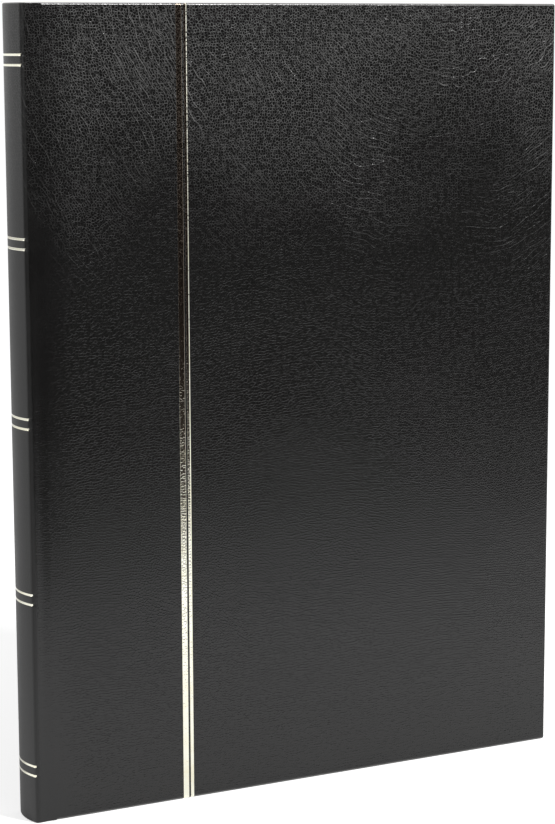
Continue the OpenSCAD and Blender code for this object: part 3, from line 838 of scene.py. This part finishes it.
def makeSpineBands():
    points, faces, uvs = [], [], []
    front = [s for s in loop if s["outer"] and s["run"] <= shoulderRun - 0.9]
    back = [
        dict(s, run=-s["run"], at=(s["at"][0], -s["at"][1]), **{"in": (s["in"][0], -s["in"][1])}) for s in front[1:]
    ]
    course = back[::-1] + front
    half, bevel = bandShape["high"] / 2, bandShape["bevel"]
    levels = [-half, -half + bevel * 0.5, -half + bevel, -half + bevel * 1.5, 0]
    levels += [half - bevel * 1.5, half - bevel, half - bevel * 0.5, half]
    for height in bandHeights():
        faces += slabFaces(len(levels), len(course), len(points))
        for lift in (-bandShape["lift"], 0.03):
            for z in (height + level for level in levels):
                points += [skinPoint(s, ("mid", z), bandPress(z) + lift)[0] for s in course]
        uvs += [(s["run"], height + z) for z in levels for s in course] * 2
    piece = buildMesh("spineBands", points, faces, uvs, None, 50)
    dress(piece, goldFoil)
    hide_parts("spine_gold_bands")
    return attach(piece, "spine_and_block")


makeFrontLines()
makeSpineBands()
print("gold stamped")


# papers inside the case

paperShape = {
    "start": 0.9, "border": 3.5,  # how far it stays from the joint side and from the other edges of the board
    "turnIn": 15.0, "sink": 0.13, "soft": 1.6,  # where and how far it sinks, and how softly
    "half": 0.06, "ends": 4.0,  # half the thickness in the joint, and how far that piece stays from head and tail
}


def makePastedown(name, side, body, node):
    # the paper sinks a little where the leatherette turned in behind it ends
    a, p = albumSize, paperShape
    start, border, soft = a["boardStart"] + p["start"], p["border"], p["soft"] / 2
    sideStep, lowStep, topStep = a["fore"] - p["turnIn"], p["turnIn"], a["top"] - p["turnIn"]
    xs = [start] + along(start + 0.4, sideStep - 3, 6.0) + along(sideStep - 2, sideStep + 2, 0.5)
    xs += along(sideStep + 4, a["fore"] - border, 3.0)
    zs = along(border, lowStep - 2.5, 3.0) + along(lowStep - 2, lowStep + 2, 0.5) + along(lowStep + 4, topStep - 4, 7.0)
    zs += along(topStep - 2, topStep + 2, 0.5) + along(topStep + 2.5, a["top"] - border, 3.0)
    outside, inside = [], []
    for z in zs:
        deepZ = easeStep(min(z, a["top"] - z), lowStep - soft, lowStep + soft)
        outRow, inRow = [], []
        for x in xs:
            deep = p["sink"] * deepZ * (1 - easeStep(x, sideStep - soft, sideStep + soft))
            outRow.append((x, -side * (a["paper"] + deep), z))
            inRow.append((x, -side * (a["foldIn"] + 0.05 + deep), z))
        outside.append(outRow)
        inside.append(inRow)
    piece = buildSheet(name, outside, inside)
    dress(piece, endpaper)
    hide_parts(node)
    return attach(piece, body)


def smoothLine(line, steps):
    # a curve through all the points of the line
    smooth, last = [], len(line) - 1
    for i in range(last):
        p0, p1, p2, p3 = line[max(0, i - 1)], line[i], line[i + 1], line[min(last, i + 2)]
        for t in (k / steps for k in range(steps)):
            smooth.append(tuple(
                0.5 * (
                    2 * p1[c] + (p2[c] - p0[c]) * t + (2 * p0[c] - 5 * p1[c] + 4 * p2[c] - p3[c]) * t * t
                    + (3 * p1[c] - p0[c] - 3 * p2[c] + p3[c]) * t ** 3
                )
                for c in (0, 1)
            ))
    return smooth + [line[-1]]


def makeEndpaperJoint(name, side):
    # the paper dips into the groove between board and block, so that the cover can open flat
    b, half, ends = albumSize["boardStart"], paperShape["half"], paperShape["ends"]
    line = [(b + 1.3, -5.76), (b + 0.6, -5.80), (b + 0.2, -6.0), (b - 0.15, -6.5), (b - 0.6, -7.0), (b - 1.4, -7.35)]
    line += [(b - 2.6, -7.5), (b - 3.9, -7.4), (b - 4.9, -6.95), (b - 5.6, -6.2), (b - 6.0, -5.72), (b - 5.9, -5.60)]
    smooth = smoothLine(line + [(b - 5.2, -5.60)], 4)
    outside, inside = [], []
    for z in along(ends, albumSize["top"] - ends, 12.0):
        outRow, inRow = [], []
        for i, (x, y) in enumerate(smooth):
            before, after = smooth[max(0, i - 1)], smooth[min(len(smooth) - 1, i + 1)]
            way = Vector((after[0] - before[0], after[1] - before[1])).normalized()
            outRow.append((x - way.y * half, side * (y + way.x * half), z))
            inRow.append((x + way.y * half, side * (y - way.x * half), z))
        outside.append(outRow)
        inside.append(inRow)
    piece = buildSheet(name, outside, inside, sharpFrom=70)
    dress(piece, endpaper)
    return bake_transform(piece)


for end, side in (("front", 1), ("back", -1)):
    makePastedown(end + "Paper", side, end + "_cover", end + "_pastedown")
for end, side in (("front", 1), ("back", -1)):
    makeEndpaperJoint(end + "PaperJoint", side)
print("endpapers laid")


# necks of the leaves and the glassine sheets, flexible in the album but built flat here

neckShape = {
    "block": -99.90, "leaf": -97.95,  # from the edge of the block to the stiff part of the leaf or sheet
    "fixed": 0.12,  # the stiff length at each end of a neck; the necks here are built flat
    "linen": 0.12, "glassine": 0.05,  # half the thickness
}


def makeNeck(name, node, half, material):
    n = neckShape
    lowest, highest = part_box(node)
    middle = (lowest.y + highest.y) / 2 / mm
    columns = along(n["block"], n["leaf"], 0.13)
    heights = along(lowest.z / mm, highest.z / mm, 10.0)
    outside = [[(x, middle - half, z) for x in columns] for z in heights]
    inside = [[(x, middle + half, z) for x in columns] for z in heights]
    piece = buildSheet(name, outside, inside)
    dress(piece, material)
    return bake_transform(piece)


for k in range(1, 9):
    makeNeck("leafNeck%d" % k, "leaf_%d_linen" % k, neckShape["linen"], linen)
for k in range(1, 8):
    makeNeck("sheetFold%d" % k, "interleaf_%d" % k, neckShape["glassine"], glassine)
print("necks made")


# floor, light and camera

studio = {
    "floor": (0.86, 0.86, 0.86, 1.0), "floorHalf": 6, "below": 0.00002,
    "floorLift": 0.57, "farLift": 0.66, "farFrom": (0.6, 2.0), "glossLift": 0.19,
    "world": 0.42,
}
lamps = {
    "key": {"power": 15.0, "place": (0.45, -0.82, 1.10), "size": 0.22},
    "side": {"power": 2.0, "place": (-1.3, 0.2, 0.7), "size": 0.8},
}
lampsPointAt = (0.0, 0.0, 0.15)
darkCard = {
    "line": [(-0.54, -0.35), (0.06, -0.37), (0.14, -0.43), (0.28, -0.43), (0.40, -0.36), (1.2, -0.36)], "high": 1.6,
    "colour": (0.034, 0.027, 0.025, 1), "rough": 0.9, "specular": 0.1,
}


def raySeen(tree, *kinds):
    path = addNode(tree, "LightPath")
    seen = path.outputs["Is %s Ray" % kinds[0]]
    for kind in kinds[1:]:
        seen = calc(tree, "MAXIMUM", seen, path.outputs["Is %s Ray" % kind])
    return seen


def makeFloor():
    made = bpy.data.materials.new("whiteFloor")
    made.use_nodes = True
    tree = made.node_tree
    tree.nodes.clear()
    matt = addNode(tree, "BsdfDiffuse", {}, {"Color": studio["floor"]}).outputs[0]
    # the lamps do not reach the far floor, which is lifted to white as well
    away = addNode(tree, "VectorMath", {"operation": "LENGTH"}, {0: addNode(tree, "NewGeometry").outputs["Position"]})
    lift = fitRange(tree, away.outputs["Value"], *studio["farFrom"], studio["floorLift"], studio["farLift"])
    lift = calc(tree, "MULTIPLY", raySeen(tree, "Camera", "Transmission"), lift)
    lift = calc(tree, "MAXIMUM", lift, calc(tree, "MULTIPLY", raySeen(tree, "Glossy"), studio["glossLift"]))
    glow = addNode(tree, "Emission", {}, {"Color": (1, 1, 1, 1), "Strength": lift}).outputs[0]
    both = addNode(tree, "AddShader", {}, {0: matt, 1: glow}).outputs[0]
    tree.links.new(both, addNode(tree, "OutputMaterial").inputs["Surface"])
    mesh = bpy.data.meshes.new("floor")
    half = studio["floorHalf"]
    mesh.from_pydata([(-half, -half, 0), (half, -half, 0), (half, half, 0), (-half, half, 0)], [], [(0, 1, 2, 3)])
    mesh.materials.append(made)
    floor = bpy.data.objects.new("floor", mesh)
    floor.location.z = -studio["below"]
    bpy.context.scene.collection.objects.link(floor)


def makeDarkCard():
    # a tall dark card in front of the album; only gloss sees it
    card = darkCard
    made = startMaterial("darkCard", {
        "Base Color": card["colour"], "Roughness": card["rough"], "Specular IOR Level": card["specular"],
    })[0]
    mesh = bpy.data.meshes.new("darkCard")
    points = [(x, y, z) for z in (0, card["high"]) for x, y in card["line"]]
    mesh.from_pydata(points, [], gridFaces(2, len(card["line"])))
    mesh.materials.append(made)
    piece = bpy.data.objects.new("darkCard", mesh)
    bpy.context.scene.collection.objects.link(piece)
    piece.visible_camera = False
    piece.visible_diffuse = False
    piece.visible_shadow = False


def makeWorld():
    world = bpy.data.worlds.new("studio")
    world.use_nodes = True
    tree = world.node_tree
    tree.nodes.clear()
    # white where it is seen, directly or in metal and glass
    seen = raySeen(tree, "Camera", "Transmission", "Glossy")
    strength = calc(tree, "ADD", studio["world"], calc(tree, "MULTIPLY", seen, 1.0 - studio["world"]))
    glow = addNode(tree, "Background", {}, {"Color": (1, 1, 1, 1), "Strength": strength}).outputs[0]
    tree.links.new(glow, addNode(tree, "OutputWorld").inputs["Surface"])
    bpy.context.scene.world = world


def makeLamp(name, power, place, size):
    lamp = bpy.data.lights.new(name, "AREA")
    lamp.energy = power
    lamp.size = size
    made = bpy.data.objects.new(name, lamp)
    made.location = place
    made.rotation_euler = (Vector(lampsPointAt) - Vector(place)).to_track_quat("-Z", "Y").to_euler()
    bpy.context.scene.collection.objects.link(made)


cameraPlace = {
    "place": (-0.4093, -0.7893, 0.2933), "yaw": 27.05, "pitch": 9.33, "roll": -0.22, "lens": 100.36, "film": 36,
}


def makeCamera():
    c = cameraPlace
    yaw, pitch, roll = (math.radians(c[k]) for k in ("yaw", "pitch", "roll"))
    ahead = Vector((math.sin(yaw) * math.cos(pitch), math.cos(yaw) * math.cos(pitch), -math.sin(pitch)))
    right = Vector((math.cos(yaw), -math.sin(yaw), 0))
    up = right.cross(ahead)
    right, up = right * math.cos(roll) + up * math.sin(roll), up * math.cos(roll) - right * math.sin(roll)
    data = bpy.data.cameras.new("camera")
    data.sensor_width = c["film"]
    data.lens = c["lens"]
    data.clip_start, data.clip_end = 0.02, 50
    made = bpy.data.objects.new("camera", data)
    bpy.context.scene.collection.objects.link(made)
    made.matrix_world = Matrix((
        (right.x, up.x, -ahead.x, c["place"][0]), (right.y, up.y, -ahead.y, c["place"][1]),
        (right.z, up.z, -ahead.z, c["place"][2]), (0, 0, 0, 1),
    ))
    bpy.context.scene.camera = made


makeFloor()
makeDarkCard()
makeWorld()
for name, lamp in lamps.items():
    makeLamp(name, **lamp)
makeCamera()
bpy.context.scene.view_settings.view_transform = "Standard"
print("floor, light and camera set")
